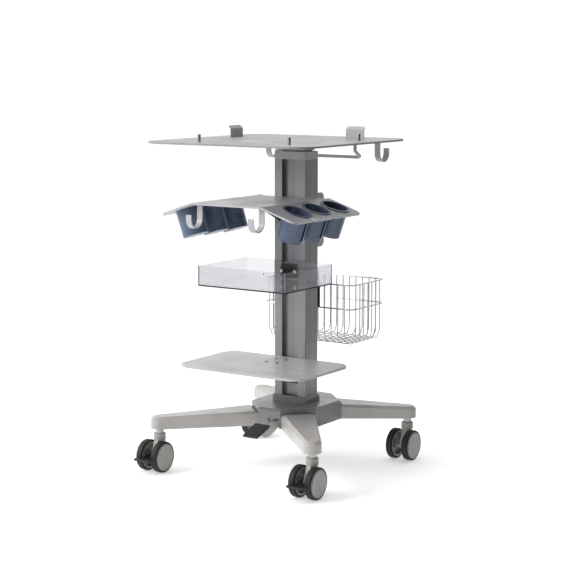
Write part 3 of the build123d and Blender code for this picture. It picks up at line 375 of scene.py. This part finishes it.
# %% Pedal ribs
low, high = (Vector(v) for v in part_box("pedal_pad"))
slope = math.radians(19)
down = Vector((0, -math.cos(slope), -math.sin(slope)))
up = Vector((0, -math.sin(slope), math.cos(slope)))
rounding = 1 * MM
top_back = Vector(((low.x + high.x) / 2, high.y, high.z - rounding))
rib_count = 8
rib_start, rib_pitch, rib_half = 10 * MM, 8 * MM, 22 * MM
rib_r, rib_h, rib_sunk = 2.2 * MM, 1.3 * MM, 0.4 * MM
arc_steps = 8
turns = [math.pi * t / arc_steps for t in range(arc_steps + 1)]
arc = [(rib_r * math.cos(t), rib_h * math.sin(t) - rib_sunk) for t in turns]
for k in range(rib_count):
    middle = top_back + down * (rib_start + rib_pitch * k)
    form = bmesh.new()
    ends = []
    for side in (-1, 1):
        end = middle + Vector((side * rib_half, 0, 0))
        ends.append([form.verts.new(end + down * a + up * b) for a, b in arc])
    for i in range(arc_steps):
        form.faces.new((ends[0][i], ends[0][i + 1], ends[1][i + 1], ends[1][i]))
    form.faces.new((ends[0][-1], ends[0][0], ends[1][0], ends[1][-1]))
    form.faces.new(ends[0])
    form.faces.new(list(reversed(ends[1])))
    bmesh.ops.recalc_face_normals(form, faces=form.faces)
    placed(f"pedal_rib_{k}", form, pad_black, "pedal")
print("pedal ribs:", rib_count)

# %% [markdown]
# The handle's two legs are welded to the plate through small round flanges.

# %% Handle flanges
low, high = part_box("rear_handle")
tube_r = 5.5 * MM
flange = [(0.0, 11.0), (-2.0, 11.0), (-2.8, 10.2), (-3.0, 7.2), (-4.6, 6.2), (-6.0, 5.6)]
for side, x in (("left", low[0] + tube_r), ("right", high[0] - tube_r)):
    spot = (x, low[1] + tube_r, high[2])
    turned(f"handle_{side}_flange", spot, (0, 0, 1), flange, rear_coat, "lift", steps=40)
print("flanges: 2")

# %% [markdown]
# ## Studio
# A wide roll of white paper runs from under the cart to the horizon. The room is bright on the left
# and dim on the right, and one large soft light stands at the left front. The shaded sides go
# deep while the shadows on the paper stay faint.

# %% Floor, light and camera
view_turn = math.radians(33.88)
along = Vector((-math.sin(view_turn), math.cos(view_turn), 0))
beside = Vector((math.cos(view_turn), math.sin(view_turn), 0))
paper_edge = ((-3.0, -1.2), (-3.0, 1.2), (0.0, 1.2), (30.0, 7.5), (30.0, -7.5), (0.0, -1.6))
paper = [along * far + beside * wide for far, wide in paper_edge]
floor_mesh = bpy.data.meshes.new("studio_floor")
floor_mesh.from_pydata(paper, [], [tuple(range(len(paper)))])
floor = bpy.data.objects.new("studio_floor", floor_mesh)
bpy.context.collection.objects.link(floor)
floor_paint, tree, shader = fresh("studio_paper")
shader.inputs["Base Color"].default_value = linear("#FCFCFC")
shader.inputs["Roughness"].default_value = 0.9
shader.inputs["Emission Color"].default_value = (1, 1, 1, 1)
shader.inputs["Emission Strength"].default_value = 0.35
floor_mesh.materials.append(floor_paint)

world = bpy.data.worlds.new("studio_surround")
world.use_nodes = True
tree = world.node_tree
ways = add(tree, "ShaderNodeTexCoord").outputs["Generated"]
lean = add(tree, "ShaderNodeVectorMath", {"operation": "DOT_PRODUCT"}, i0=ways)
lean.inputs[1].default_value = (-0.85, 0.20, 0.0)
room = tree.nodes["Background"]
tree.links.new(ramp(tree, lean.outputs["Value"], 0.06, 1.2, -0.7, 0.5), room.inputs["Strength"])
room.inputs["Color"].default_value = (1, 1, 1, 1)
bpy.context.scene.world = world


def soft_light(name, spot, aim, size, power):
    lamp = bpy.data.lights.new(name, "AREA")
    lamp.shape = "SQUARE"
    lamp.size = size
    lamp.energy = power
    holder = bpy.data.objects.new(name, lamp)
    holder.location = spot
    holder.rotation_euler = (Vector(aim) - Vector(spot)).to_track_quat("-Z", "Y").to_euler()
    bpy.context.collection.objects.link(holder)
    return holder


soft_light("key_softbox", (-2.6, -3.4, 3.0), (0, 0, 0.5), 2.4, 120)
soft_light("top_softbox", (0.2, 0.6, 4.0), (0, 0, 0.4), 3.0, 14)

view = bpy.data.cameras.new("studio_camera")
view.sensor_width = 36
view.lens = 102.64
view.clip_end = 100
camera = bpy.data.objects.new("studio_camera", view)
camera.location = (2.8508, -4.2434, 1.3183)
camera.rotation_euler = (math.radians(90 - 7.955), 0, view_turn)
bpy.context.collection.objects.link(camera)
bpy.context.scene.camera = camera
bpy.context.scene.view_settings.view_transform = "Standard"
print("camera lens:", view.lens, "mm")
